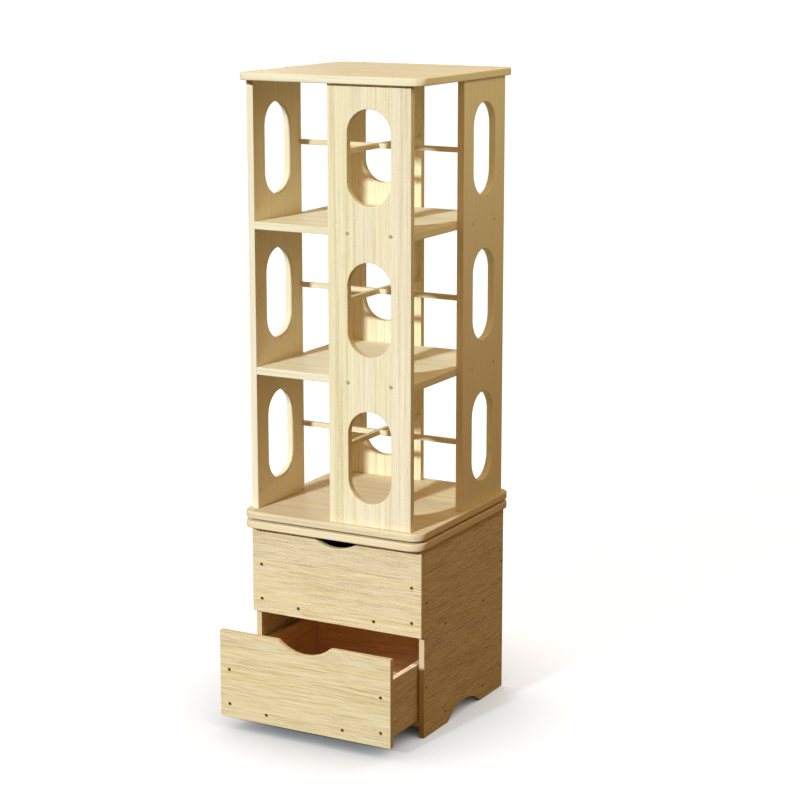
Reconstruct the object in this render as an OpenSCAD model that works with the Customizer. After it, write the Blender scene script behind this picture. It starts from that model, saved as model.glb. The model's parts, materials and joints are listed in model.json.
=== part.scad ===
// Revolving bookcase: a three tier shelf tower that turns on a base with two drawers.
// Millimetres. The origin lies on the turning axis at floor level, +Z is up and the drawers open towards -Y.

/* [Square boards] */
// Side of the three square boards: top board, tower base and base top
board_w = 407; // [385:1:440]
// Corner radius of the square boards
board_r = 28; // [10:1:45]
// Thickness of the square boards
board_t = 15; // [12:0.5:20]

/* [Tower] */
// Clear height of one tier
tier_h = 276; // [240:1:330]
// Thickness of the two shelves
shelf_t = 15; // [12:0.5:20]
// Thickness of the four upright panels
panel_t = 15; // [12:0.5:20]
// Distance from the edge of a square board to the outer face of a panel
panel_inset = 10.5; // [3:0.5:15]
// How far each panel reaches past the turning axis
panel_lap = 3; // [1:0.5:12]
// Width of the round ended window in each tier of a panel
window_w = 95; // [60:1:120]
// Height of the window
window_h = 184; // [130:1:210]
// Height of the slim stop bars behind each tier
bar_h = 10; // [6:0.5:16]
// Depth of the stop bars
bar_t = 10; // [6:0.5:16]
// Height of a stop bar's underside above the floor of its tier
bar_z = 137; // [90:1:200]

/* [Swivel] */
// Open gap between the base top and the tower base
swivel_gap = 5; // [3:0.5:7]
// Height of the ball bearing between its two seats
swivel_h = 9; // [8:0.5:12]
// Outer diameter of the bearing's fixed ring
swivel_d = 140; // [136:1:200]
// Width of each ring, from the ball circle to its free edge
ring_w = 15; // [13:0.5:24]
// Diameter of a ball
ball_d = 5; // [4:0.1:5.4]
// Number of balls
ball_count = 24; // [12:1:36]
// Clearance between a ball and its groove
ball_clear = 0.25; // [0.1:0.05:0.4]
// Clearance between each ring and the ball circle
ring_clear = 0.3; // [0.2:0.1:0.6]
// Free height between each ring and the board that it doesn't touch
ring_lift = 0.5; // [0.3:0.1:1]

/* [Base] */
// Height of the base from the floor to the upper face of its top board
base_h = 407; // [380:1:440]
// Distance from the edge of the base top to the outer face of a side
base_side_inset = 9.5; // [2:0.5:14]
// Distance from the front of the base top to the front edge of the sides
base_setback = 38; // [28:0.5:50]
// Distance from the rear of the base top to the back panel
base_back_inset = 16; // [5:0.5:25]
// Thickness of the base sides
side_t = 12; // [10:0.5:16]
// Thickness of the back panel
back_t = 12; // [10:0.5:16]
// Thickness of the divider and of the bottom board
deck_t = 12; // [10:0.5:16]
// Height of the bottom board's underside above the floor
bottom_z = 21; // [15:1:40]
// Height of the arch between the feet of a side
arch_h = 26; // [18:1:40]
// Length of the arch along the floor
arch_w = 152; // [110:1:220]
// Radius of the rounded toe at each end of the arch
toe_r = 10; // [6:1:14]

/* [Drawers] */
// Thickness of a drawer front
front_t = 12; // [10:0.5:16]
// Gap between the two drawer fronts
front_gap = 5; // [2:0.5:8]
// Gap between the upper front and the base top
front_top_gap = 1.2; // [0.8:0.1:4]
// Gap between a closed front and the edges of the base
close_gap = 0.5; // [0.3:0.1:1.5]
// Thickness of a drawer's sides and back
drawer_t = 12; // [10:0.5:15]
// Height of a drawer's sides
drawer_h = 118; // [90:1:150]
// Gap between a closed drawer's back and the back panel
drawer_back_gap = 7.5; // [3:0.5:60]
// Gap between a drawer's side and the side of the base
drawer_side_gap = 3.5; // [1:0.5:6]
// Gap under a drawer's sides
drawer_run_gap = 0.3; // [0.2:0.1:0.6]
// Thickness of a drawer's bottom
tray_t = 9; // [6:0.5:12]
// Height of a drawer's bottom above the lower edge of its sides
tray_lift = 6; // [3:0.5:12]
// Depth of the groove that holds a drawer's bottom
tray_groove = 4; // [2:0.5:6]
// Width of the finger pull in a front's upper edge
pull_w = 122; // [90:1:160]
// Depth of the finger pull
pull_h = 23; // [16:1:30]
// Radius of the pull's two corners
pull_r = 4; // [2:0.5:8]
// How far the lower drawer stands open
lower_open = 126; // [0:1:236]

/* [Screws] */
// Diameter of a screw's shank
screw_d = 3.5; // [3:0.1:4.5]
// Diameter of a screw's countersunk head
screw_head_d = 7; // [5.5:0.1:8]
// Depth of a screw's head below the face that it is driven into, in the base and the drawers
screw_sink = 1; // [0:0.1:1.4]
// The same depth in the tower, where the heads are almost flush
tower_screw_sink = 0.2; // [0:0.1:1.4]
// Length of the screws that join the boards
screw_len = 40; // [30:1:50]
// Length of the screws in the drawers
drawer_screw_len = 30; // [22:1:36]
// Length of the screws in the bearing's rings
ring_screw_len = 16; // [13:0.5:17.5]
// Length of the short screws near the front edge of the base sides
edge_screw_len = 9; // [6:0.5:9.5]
// Width across the flats of a screw's hexagonal socket
socket_d = 2.5; // [2:0.1:3]
// Depth of the socket
socket_h = 1.5; // [1:0.1:2]
// Clearance of a screw in its hole
screw_clear = 0.1; // [0.05:0.05:0.2]
// Distance between the two screws of a panel
panel_screw_pitch = 95; // [60:1:130]
// Distance between the two screws in the middle of a base side
deck_screw_pitch = 170; // [100:1:220]
// Distance from the front edge of a base side to its short screws
edge_screw_inset = 10; // [7:0.5:20]
// Height of the lower screws along the edges of a base side
edge_screw_low = 103; // [60:1:160]
// Height of the upper screws along the edges of a base side
edge_screw_high = 277; // [240:1:330]
// Distance between the screws from the base top into a side
cap_side_pitch = 260; // [180:1:300]
// Distance between the screws from the base top into the back panel
cap_back_pitch = 240; // [160:1:300]
// Distance between the two screws from a front into the drawer's bottom
tray_screw_pitch = 174; // [100:1:240]
// Height of the lower corner screws above the lower edge of a drawer's sides
drawer_screw_low = 20; // [19:1:40]
// Distance of the upper corner screws below the upper edge of a drawer's sides
drawer_screw_high = 26; // [10:1:40]

/* [Hidden] */

$fn = 64;
// Overshoot of a cut past the face that it opens
cut = 1;
// Dip of an arch's rounded corner past its edge, so that the curves cross instead of only touching
corner_bite = 0.02;

pine = [0.91, 0.82, 0.64];
pine_edge = [0.87, 0.76, 0.56];
pine_shade = [0.72, 0.57, 0.38];
dark_steel = [0.22, 0.18, 0.14];
yellow_zinc = [0.62, 0.54, 0.36];
bright_steel = [0.78, 0.79, 0.80];
aluminium = [0.70, 0.71, 0.73];

// Tower: places across
panel_out = board_w / 2 - panel_inset;
shelf_half = panel_out - panel_t;
panel_mid = (shelf_half - panel_lap) / 2;

// Tower: heights
tower_z = base_h + swivel_gap;
panel_z = tower_z + board_t;
panel_h = 3 * tier_h + 2 * shelf_t;
top_z = panel_z + panel_h;
total_h = top_z + board_t;
function tier_floor(tier) = panel_z + tier * (tier_h + shelf_t);

// Base: places across and heights
base_front = -board_w / 2 + base_setback;
base_rear = board_w / 2 - base_back_inset;
base_depth = base_rear - base_front;
base_mid = (base_front + base_rear) / 2;
base_half = board_w / 2 - base_side_inset;
bay_half = base_half - side_t;
back_face = base_rear - back_t;
cap_z = base_h - board_t;
bottom_top = bottom_z + deck_t;
deck_pitch = (cap_z - bottom_top + deck_t) / 2;

// Drawers
drawer_half = bay_half - drawer_side_gap;
tray_half = drawer_half - drawer_t;
front_h = deck_pitch - front_gap;
front_back = base_front - close_gap;
drawer_rear = back_face - drawer_back_gap;
upper_front_z = cap_z - front_top_gap - front_h;
function deck_top(level) = bottom_top + level * deck_pitch;
function side_z(level) = deck_top(level) + drawer_run_gap;
function front_z(level) = upper_front_z - (1 - level) * deck_pitch;
function tray_z(level) = side_z(level) + tray_lift;
function open_by(level) = level == 0 ? lower_open : 0;

// Swivel
recess_h = swivel_h - swivel_gap;
recess_z = base_h - recess_h;
ball_z = recess_z + swivel_h / 2;
race_r = swivel_d / 2 - ring_w;
bore_r = race_r - ring_w;
fixed_screw_r = (swivel_d / 2 + race_r + ball_d / 2) / 2;
turning_screw_r = (bore_r + race_r - ball_d / 2) / 2;

// Screws
screw_r = screw_d / 2;
head_r = screw_head_d / 2;
head_h = head_r - screw_r;

// Repeats its children on the four faces of the tower
module four_ways() {
    for (turn = [0 : 3]) rotate(90 * turn) children();
}

// Square board with rounded corners, lower face at z = 0
module square_board(thickness) {
    straight = board_w / 2 - board_r;
    linear_extrude(thickness) {
        square([2 * straight, board_w], center = true);
        square([board_w, 2 * straight], center = true);
        for (x = [-straight, straight], y = [-straight, straight]) translate([x, y]) circle(board_r);
    }
}

// Box from one corner to the opposite one
module span(low, high) {
    translate(low) cube(high - low);
}

// Countersunk screw, shank pointing down and head sunk under the face at z = 0
module screw(length, sink = screw_sink) {
    translate([0, 0, -sink]) difference() {
        union() {
            translate([0, 0, -head_h]) cylinder(h = head_h, r1 = screw_r, r2 = head_r);
            translate([0, 0, -length]) cylinder(h = length - head_h, r = screw_r);
        }
        translate([0, 0, -socket_h]) cylinder(h = socket_h + cut, d = socket_d / cos(30), $fn = 6);
    }
}

// Countersunk hole that a screw of the same length fits with its clearance
module screw_hole(length, sink = screw_sink) {
    shank_r = screw_r + screw_clear;
    mouth_r = head_r + screw_clear;
    translate([0, 0, -sink]) {
        cylinder(h = sink + cut, r = mouth_r);
        translate([0, 0, -head_h]) cylinder(h = head_h, r1 = shank_r, r2 = mouth_r);
        translate([0, 0, -length - screw_clear]) cylinder(h = length + screw_clear - head_h, r = shank_r);
    }
}

// Shallow arch that rises from the x axis, with a rounded corner where it meets the axis at each end
module arch_cut(width, height, corner_r) {
    half = width / 2;
    arch_r = (half * half + height * height - 2 * height * corner_r) / (2 * height);
    arch_y = height - arch_r;
    meet_y = corner_r * height / (arch_r + corner_r);
    intersection() {
        translate([0, arch_y]) circle(arch_r, $fn = 128);
        translate([-half, -cut]) square([width, height + 2 * cut]);
    }
    difference() {
        translate([-half, -cut]) square([width, meet_y + cut]);
        for (x = [-half, half]) translate([x, corner_r - corner_bite]) circle(corner_r);
    }
}

// Places of the two screws from a panel into a shelf, on the front face of the tower
module shelf_screw_places(shelf) {
    for (side = [-1, 1])
        translate([panel_mid + side * panel_screw_pitch / 2, -panel_out, tier_floor(shelf) - shelf_t / 2])
            rotate([90, 0, 0]) children();
}

// Places of the two screws from the top board into a panel
module top_screw_places() {
    for (side = [-1, 1])
        translate([panel_mid + side * panel_screw_pitch / 2, -panel_out + panel_t / 2, total_h]) children();
}

// Places of the two screws from the tower base up into a panel
module tower_base_screw_places() {
    for (side = [-1, 1])
        translate([panel_mid + side * panel_screw_pitch / 2, -panel_out + panel_t / 2, tower_z])
            rotate([180, 0, 0]) children();
}

// Window with round ends, through a panel on the front face of the tower
module window(tier) {
    reach = (window_h - window_w) / 2;
    middle = tier_floor(tier) + tier_h / 2;
    translate([panel_mid, -shelf_half + cut, middle]) rotate([90, 0, 0]) linear_extrude(panel_t + 2 * cut) {
        square([window_w, 2 * reach], center = true);
        for (y = [-reach, reach]) translate([0, y]) circle(d = window_w);
    }
}

// Upright panel, on the front face of the tower
module panel() {
    color(pine) difference() {
        span([-panel_lap, -panel_out, panel_z], [shelf_half, -shelf_half, top_z]);
        for (tier = [0 : 2]) window(tier);
        for (shelf = [1, 2]) shelf_screw_places(shelf) screw_hole(screw_len, tower_screw_sink);
        top_screw_places() screw_hole(screw_len, tower_screw_sink);
        tower_base_screw_places() screw_hole(screw_len, tower_screw_sink);
    }
}

module panel_front() { panel(); }
module panel_right() { rotate(90) panel(); }
module panel_rear() { rotate(180) panel(); }
module panel_left() { rotate(270) panel(); }

module top_board() {
    color(pine) difference() {
        translate([0, 0, top_z]) square_board(board_t);
        four_ways() top_screw_places() screw_hole(screw_len, tower_screw_sink);
    }
}

// Shelf under the tier that it carries
module shelf(number) {
    top = tier_floor(number);
    color(pine_edge) difference() {
        span([-shelf_half, -shelf_half, top - shelf_t], [shelf_half, shelf_half, top]);
        four_ways() shelf_screw_places(number) screw_hole(screw_len, tower_screw_sink);
    }
}

module shelf_upper() { shelf(2); }
module shelf_lower() { shelf(1); }

// Ring of screw places in a ring of the swivel
module ring_screw_places(radius) {
    four_ways() rotate(45) translate([radius, 0, 0]) rotate([180, 0, 0]) children();
}

module tower_base() {
    color(pine) difference() {
        translate([0, 0, tower_z]) square_board(board_t);
        four_ways() tower_base_screw_places() screw_hole(screw_len, tower_screw_sink);
        translate([0, 0, recess_z + ring_lift]) ring_screw_places(turning_screw_r) screw_hole(ring_screw_len);
    }
}

// Stop bar between two opposite panels, half lapped from above or from below where it crosses the other one
module stop_bar(tier, lap_above) {
    low = tier_floor(tier) + bar_z;
    lap_z = lap_above ? low + bar_h / 2 : low - cut;
    color(pine_shade) difference() {
        span([-shelf_half, -bar_t / 2, low], [shelf_half, bar_t / 2, low + bar_h]);
        span([-bar_t / 2, -bar_t / 2 - cut, lap_z], [bar_t / 2, bar_t / 2 + cut, lap_z + bar_h / 2 + cut]);
    }
}

module stop_bar_x_upper() { stop_bar(2, true); }
module stop_bar_x_middle() { stop_bar(1, true); }
module stop_bar_x_lower() { stop_bar(0, true); }
module stop_bar_y_upper() { rotate(90) stop_bar(2, false); }
module stop_bar_y_middle() { rotate(90) stop_bar(1, false); }
module stop_bar_y_lower() { rotate(90) stop_bar(0, false); }

module top_screws() {
    color(yellow_zinc) four_ways() top_screw_places() screw(screw_len, tower_screw_sink);
}

module shelf_screws() {
    color(yellow_zinc) four_ways() for (number = [1, 2])
        shelf_screw_places(number) screw(screw_len, tower_screw_sink);
}

module tower_base_screws() {
    color(yellow_zinc) four_ways() tower_base_screw_places() screw(screw_len, tower_screw_sink);
}

// Groove that the balls run in
module ball_race() {
    translate([0, 0, ball_z]) rotate_extrude($fn = 128)
        translate([race_r, 0]) circle(ball_d / 2 + ball_clear, $fn = 32);
}

// Flat ring between two radii
module flat_ring(inner_r, outer_r, low, high) {
    translate([0, 0, low]) difference() {
        cylinder(h = high - low, r = outer_r, $fn = 128);
        translate([0, 0, -cut]) cylinder(h = high - low + 2 * cut, r = inner_r, $fn = 128);
    }
}

// Inner ring, screwed to the underside of the tower base
module swivel_turning_ring() {
    low = recess_z + ring_lift;
    color(aluminium) difference() {
        flat_ring(bore_r, race_r - ring_clear, low, tower_z);
        ball_race();
        translate([0, 0, low]) ring_screw_places(turning_screw_r) screw_hole(ring_screw_len);
    }
}

module swivel_turning_screws() {
    color(bright_steel) translate([0, 0, recess_z + ring_lift]) ring_screw_places(turning_screw_r)
        screw(ring_screw_len);
}

// Outer ring, let into the base top and held by screws from below
module swivel_fixed_ring() {
    color(aluminium) difference() {
        flat_ring(race_r + ring_clear, swivel_d / 2, recess_z, tower_z - ring_lift);
        ball_race();
        translate([0, 0, cap_z]) ring_screw_places(fixed_screw_r) screw_hole(ring_screw_len);
    }
}

module swivel_fixed_screws() {
    color(bright_steel) translate([0, 0, cap_z]) ring_screw_places(fixed_screw_r) screw(ring_screw_len);
}

module swivel_balls() {
    color(bright_steel) for (number = [0 : ball_count - 1])
        rotate(number * 360 / ball_count) translate([race_r, 0, ball_z]) sphere(d = ball_d, $fn = 32);
}

// Places of the screws from the base top into the sides and the back panel
module base_top_screw_places() {
    for (side = [-1, 1], end = [-1, 1])
        translate([side * (base_half - side_t / 2), base_mid + end * cap_side_pitch / 2, base_h]) children();
    for (side = [-1, 1])
        translate([side * cap_back_pitch / 2, base_rear - back_t / 2, base_h]) children();
}

module base_top() {
    color(pine) difference() {
        translate([0, 0, cap_z]) square_board(board_t);
        translate([0, 0, recess_z]) cylinder(h = recess_h + cut, r = swivel_d / 2 + ring_clear, $fn = 128);
        translate([0, 0, cap_z]) ring_screw_places(fixed_screw_r) screw_hole(ring_screw_len);
        base_top_screw_places() screw_hole(screw_len);
    }
}

module base_top_screws() {
    color(dark_steel) base_top_screw_places() screw(screw_len);
}

// Places of the screws in the right side: into the divider, the bottom board and the back panel
module side_screw_places() {
    for (level = [0, 1], end = [-1, 1])
        translate([base_half, base_mid + end * deck_screw_pitch / 2, deck_top(level) - deck_t / 2])
            rotate([0, 90, 0]) children();
    for (z = [edge_screw_low, edge_screw_high])
        translate([base_half, base_rear - back_t / 2, z]) rotate([0, 90, 0]) children();
}

// Places of the short screws near the front edge of the right side
module edge_screw_places() {
    for (z = [edge_screw_low, edge_screw_high])
        translate([base_half, base_front + edge_screw_inset, z]) rotate([0, 90, 0]) children();
}

// Right side of the base, cut to two feet by an arch
module base_side() {
    color(pine_shade) difference() {
        translate([bay_half, 0, 0]) rotate([90, 0, 90]) linear_extrude(side_t) difference() {
            translate([base_front, 0]) square([base_depth, cap_z]);
            translate([base_mid, 0]) arch_cut(arch_w, arch_h, toe_r);
        }
        side_screw_places() screw_hole(screw_len);
        edge_screw_places() screw_hole(edge_screw_len);
        base_top_screw_places() screw_hole(screw_len);
    }
}

module base_side_right() { base_side(); }
module base_side_left() { mirror([1, 0, 0]) base_side(); }

module base_side_screws() {
    color(dark_steel) for (side = [0, 1]) mirror([side, 0, 0]) {
        side_screw_places() screw(screw_len);
        edge_screw_places() screw(edge_screw_len);
    }
}

module base_back() {
    color(pine_shade) difference() {
        span([-bay_half, back_face, bottom_z], [bay_half, base_rear, cap_z]);
        for (side = [0, 1]) mirror([side, 0, 0]) side_screw_places() screw_hole(screw_len);
        base_top_screw_places() screw_hole(screw_len);
    }
}

// Board between the base sides that a drawer slides on
module deck(level) {
    color(pine_shade) difference() {
        span([-bay_half, base_front, deck_top(level) - deck_t], [bay_half, back_face, deck_top(level)]);
        for (side = [0, 1]) mirror([side, 0, 0]) side_screw_places() screw_hole(screw_len);
    }
}

module base_divider() { deck(1); }
module base_bottom() { deck(0); }

// Places of the screws in a drawer's front: into both sides and into the bottom
module front_screw_places(level) {
    for (side = [-1, 1], z = [drawer_screw_low, drawer_h - drawer_screw_high])
        translate([side * (drawer_half - drawer_t / 2), front_back - front_t, side_z(level) + z])
            rotate([90, 0, 0]) children();
    for (side = [-1, 1])
        translate([side * tray_screw_pitch / 2, front_back - front_t, tray_z(level) + tray_t / 2])
            rotate([90, 0, 0]) children();
}

// Places of the screws from a drawer's right side into its back
module drawer_back_screw_places(level) {
    for (z = [drawer_screw_low, drawer_h - drawer_screw_high])
        translate([drawer_half, drawer_rear - drawer_t / 2, side_z(level) + z])
            rotate([0, 90, 0]) children();
}

// Moves a drawer to where it stands open
module pulled(level) {
    translate([0, -open_by(level), 0]) children();
}

// Front that covers the edges of the base, with a finger pull in its upper edge
module drawer_front(level) {
    color(pine) pulled(level) difference() {
        translate([0, front_back, front_z(level)]) rotate([90, 0, 0]) linear_extrude(front_t) difference() {
            translate([-base_half, 0]) square([2 * base_half, front_h]);
            translate([0, front_h]) mirror([0, 1]) arch_cut(pull_w, pull_h, pull_r);
        }
        front_screw_places(level) screw_hole(drawer_screw_len);
    }
}

// Right side of a drawer, grooved for the bottom
module drawer_side(level) {
    color(pine_shade) pulled(level) difference() {
        span([tray_half, front_back, side_z(level)], [drawer_half, drawer_rear, side_z(level) + drawer_h]);
        span([tray_half - cut, front_back - cut, tray_z(level)],
             [tray_half + tray_groove, drawer_rear + cut, tray_z(level) + tray_t]);
        front_screw_places(level) screw_hole(drawer_screw_len);
        drawer_back_screw_places(level) screw_hole(drawer_screw_len);
    }
}

module drawer_back(level) {
    color(pine_shade) pulled(level) difference() {
        span([-tray_half, drawer_rear - drawer_t, tray_z(level) + tray_t],
             [tray_half, drawer_rear, side_z(level) + drawer_h]);
        for (side = [0, 1]) mirror([side, 0, 0]) drawer_back_screw_places(level) screw_hole(drawer_screw_len);
    }
}

module drawer_bottom(level) {
    half = tray_half + tray_groove;
    color(pine_shade) pulled(level) difference() {
        span([-half, front_back, tray_z(level)], [half, drawer_rear, tray_z(level) + tray_t]);
        front_screw_places(level) screw_hole(drawer_screw_len);
    }
}

module drawer_screws(level) {
    color(dark_steel) pulled(level) {
        front_screw_places(level) screw(drawer_screw_len);
        for (side = [0, 1]) mirror([side, 0, 0]) drawer_back_screw_places(level) screw(drawer_screw_len);
    }
}

module upper_drawer_front() { drawer_front(1); }
module upper_drawer_side_right() { drawer_side(1); }
module upper_drawer_side_left() { mirror([1, 0, 0]) drawer_side(1); }
module upper_drawer_back() { drawer_back(1); }
module upper_drawer_bottom() { drawer_bottom(1); }
module upper_drawer_screws() { drawer_screws(1); }
module lower_drawer_front() { drawer_front(0); }
module lower_drawer_side_right() { drawer_side(0); }
module lower_drawer_side_left() { mirror([1, 0, 0]) drawer_side(0); }
module lower_drawer_back() { drawer_back(0); }
module lower_drawer_bottom() { drawer_bottom(0); }
module lower_drawer_screws() { drawer_screws(0); }

top_board();
shelf_upper();
shelf_lower();
tower_base();
panel_front();
panel_right();
panel_rear();
panel_left();
stop_bar_x_upper();
stop_bar_x_middle();
stop_bar_x_lower();
stop_bar_y_upper();
stop_bar_y_middle();
stop_bar_y_lower();
top_screws();
shelf_screws();
tower_base_screws();
swivel_turning_ring();
swivel_turning_screws();
swivel_balls();
swivel_fixed_ring();
swivel_fixed_screws();
base_top();
base_side_left();
base_side_right();
base_back();
base_divider();
base_bottom();
base_top_screws();
base_side_screws();
upper_drawer_front();
upper_drawer_side_left();
upper_drawer_side_right();
upper_drawer_back();
upper_drawer_bottom();
upper_drawer_screws();
lower_drawer_front();
lower_drawer_side_left();
lower_drawer_side_right();
lower_drawer_back();
lower_drawer_bottom();
lower_drawer_screws();
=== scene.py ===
# %% [markdown]
# A revolving bookcase, from its frame to its finish. The real one is a tower of three open tiers that
# turns on a base with two drawers, all of it in pale lacquered boards held by countersunk screws. A model
# for looks could be drawn from nothing, but then no screw would meet its hole. So the script starts from
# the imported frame, where every board already has its true place, and each later step only refines what
# stands there.

# %% Load the frame
import json
import math
from collections import namedtuple

import bmesh
import bpy
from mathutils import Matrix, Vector

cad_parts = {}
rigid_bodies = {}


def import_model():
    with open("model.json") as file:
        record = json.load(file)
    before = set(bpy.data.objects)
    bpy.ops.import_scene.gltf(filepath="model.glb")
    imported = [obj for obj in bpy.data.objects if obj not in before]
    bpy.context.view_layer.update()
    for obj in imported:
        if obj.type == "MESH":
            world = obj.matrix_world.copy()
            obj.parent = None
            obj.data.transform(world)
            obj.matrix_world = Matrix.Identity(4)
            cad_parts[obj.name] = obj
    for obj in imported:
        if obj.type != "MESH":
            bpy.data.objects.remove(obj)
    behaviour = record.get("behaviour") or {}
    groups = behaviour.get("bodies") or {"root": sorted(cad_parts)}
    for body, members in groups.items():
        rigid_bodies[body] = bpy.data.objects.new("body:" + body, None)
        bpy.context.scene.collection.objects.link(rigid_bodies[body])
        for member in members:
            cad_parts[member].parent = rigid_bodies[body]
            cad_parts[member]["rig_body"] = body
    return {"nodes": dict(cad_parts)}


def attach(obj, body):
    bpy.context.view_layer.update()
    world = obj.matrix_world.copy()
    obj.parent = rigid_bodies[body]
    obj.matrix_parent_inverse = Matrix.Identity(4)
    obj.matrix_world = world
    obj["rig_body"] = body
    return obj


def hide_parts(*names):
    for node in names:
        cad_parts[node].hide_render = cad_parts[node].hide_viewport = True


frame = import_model()
scene = bpy.context.scene
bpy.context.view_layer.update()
print("nodes:", len(frame["nodes"]))

# %% [markdown]
# The camera. A photograph of a tall, square thing tells where it was taken from: the edges of its boards
# meet in vanishing points, and those fix the turn, the tilt and the lens. Placing a camera by eye would
# come close, but the slope of every shelf would be a little off. Here the camera stands to the right of
# the front, a little above the top board, with a long lens.

# %% Set the camera
CAMERA_PLACE = (2.0847, -3.7485, 1.5678)
CAMERA_TILT = 0.214
CAMERA_TURN = 0.4973
LENS_MM = 97.33
SENSOR_MM = 36.0
FARTHEST_VIEW = 400.0

lens = bpy.data.cameras.new("camera")
lens.lens = LENS_MM
lens.sensor_width = SENSOR_MM
lens.clip_end = FARTHEST_VIEW
camera = bpy.data.objects.new("camera", lens)
camera.location = CAMERA_PLACE
camera.rotation_euler = (math.pi / 2 - CAMERA_TILT, 0.0, CAMERA_TURN)
scene.collection.objects.link(camera)
scene.camera = camera
print("camera lens:", round(lens.lens, 2), "mm")

# %% [markdown]
# Small words for building nodes. A material is a graph, and a graph written out link by link is long and
# hard to read. One helper adds a node, sets its properties, and fills its inputs: a plain value is
# written on the socket, and another node's output is linked to it. Each later finish then reads from top
# to bottom like a recipe.

# %% Node helpers
WHITE = (1.0, 1.0, 1.0, 1.0)
PALE_WOOD = (238, 225, 191)


def add_node(tree, kind, inputs=(), **properties):
    made = tree.nodes.new(kind)
    for name, value in properties.items():
        setattr(made, name, value)
    for name, value in dict(inputs).items():
        if isinstance(value, bpy.types.NodeSocket):
            tree.links.new(value, made.inputs[name])
        else:
            made.inputs[name].default_value = value
    return made


def output(tree, kind, inputs=(), **properties):
    """The first output of a new node, for nodes that are only needed for their result."""
    return add_node(tree, kind, inputs, **properties).outputs[0]


def math_node(tree, operation, first, second=0.0):
    return output(tree, "ShaderNodeMath", {0: first, 1: second}, operation=operation)


def linear(red, green, blue):
    """A colour as a screen shows it, 0 to 255, turned by the sRGB curve into the light of shaders."""
    parts = [value / 255.0 for value in (red, green, blue)]
    return tuple(v / 12.92 if v <= 0.04045 else ((v + 0.055) / 1.055) ** 2.4 for v in parts) + (1.0,)


def empty_material(name):
    made = bpy.data.materials.new(name)
    made.use_nodes = True
    made.node_tree.nodes.clear()
    return made, made.node_tree


print("pale wood in linear light:", [round(v, 3) for v in linear(*PALE_WOOD)[:3]])

# %% [markdown]
# Light. The boards are brightest on the front, a little less so on top, and the right faces lie in warm
# shade that deepens towards the floor. So the main light is a sun lamp in front, slightly to the left and
# about 25 degrees high. That height is what gives the overhanging boards their narrow shadows. A bright
# panel in its place would do in a studio too, but its light would fade along the tower. A dim warm sky
# fills the shade, a warm panel high on the right adds the part of the fill that fades downwards, and a
# faint lamp from behind keeps the back readable. The sky looks white to the camera and to reflections,
# and only there: Light Path tells these rays from the ones that carry light to the wood.

# %% Lamp helpers
SUN_PLACE = (0.0, 0.0, 3.0)


def add_lamp(name, lamp, place, towards):
    holder = bpy.data.objects.new(name, lamp)
    holder.location = place
    holder.rotation_euler = Vector(towards).to_track_quat("-Z", "Y").to_euler()
    holder.visible_camera = False
    scene.collection.objects.link(holder)
    return holder


def sun_lamp(name, towards, strength, disc, colour):
    """A sun whose disc is given in degrees. A wide disc makes soft shadows."""
    lamp = bpy.data.lights.new(name, "SUN")
    lamp.energy = strength
    lamp.angle = math.radians(disc)
    lamp.color = colour
    return add_lamp(name, lamp, SUN_PLACE, towards)


def panel_lamp(name, place, target, watts, side, colour):
    """A square panel, its side in metres, that faces a target."""
    lamp = bpy.data.lights.new(name, "AREA")
    lamp.energy = watts
    lamp.size = side
    lamp.color = colour
    return add_lamp(name, lamp, place, Vector(target) - Vector(place))


print("lamp helpers ready")

# %% Set the lamps
key_lamp = sun_lamp(
    "key_lamp", towards=(0.14, 1.00, -0.48), strength=3.38, disc=3, colour=(0.81, 0.94, 1.0))
sun_lamp(
    "back_lamp", towards=(0.60, -0.80, -0.08), strength=1.4, disc=12, colour=(0.92, 0.96, 1.0))
panel_lamp(
    "side_lamp", place=(0.95, 0.0, 1.6), target=(0.2, 0.0, 1.15), watts=2.4, side=0.5,
    colour=(0.97, 0.94, 0.58))
print("lamps:", [o.name for o in scene.objects if o.type == "LIGHT"])

# %% Hang the sky
FILL_SKY = (0.41, 0.239, 0.096, 1.0)


def seen_directly(tree):
    """1 for rays from the camera, a gloss or glass, and 0 for rays that carry light to a surface."""
    path = add_node(tree, "ShaderNodeLightPath")
    seen = math_node(tree, "MAXIMUM", path.outputs["Is Camera Ray"], path.outputs["Is Glossy Ray"])
    return math_node(tree, "MAXIMUM", seen, path.outputs["Is Transmission Ray"])


world = bpy.data.worlds.new("studio")
world.use_nodes = True
sky = world.node_tree
sky.nodes.clear()
fill = output(sky, "ShaderNodeBackground", {"Color": FILL_SKY, "Strength": 1.0})
white = output(sky, "ShaderNodeBackground", {"Color": WHITE, "Strength": 1.0})
sky_mix = output(sky, "ShaderNodeMixShader", {0: seen_directly(sky), 1: fill, 2: white})
add_node(sky, "ShaderNodeOutputWorld", {"Surface": sky_mix})
scene.world = world
scene.view_settings.view_transform = "Standard"
print("sky nodes:", len(sky.nodes))

# %% [markdown]
# The floor. A photo studio's white paper would throw a lot of light back up at the shaded sides, which
# the real floor didn't. So the floor has two faces: to the light that bounces it is a dull brown, and to
# the camera it is almost white. That white is mostly a glow, which alone would wipe out every shadow.
# Ambient occlusion dims the glow close to the object, and the rest of the floor takes the lamps' light,
# so the soft shadow and the dark line of contact stay.

# %% Lay the floor
FLOOR_HALF = 120.0
FLOOR_LIFT = -0.0005
BOUNCE_BROWN = (0.10, 0.05, 0.02, 1.0)
COOL_PAPER = (0.93, 0.95, 1.0, 1.0)
GLOW_SHARE = 0.7
GLOW_LEVEL = 1.34
SHADE_REACH = 0.4
SHADE_SAMPLES = 16

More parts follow.
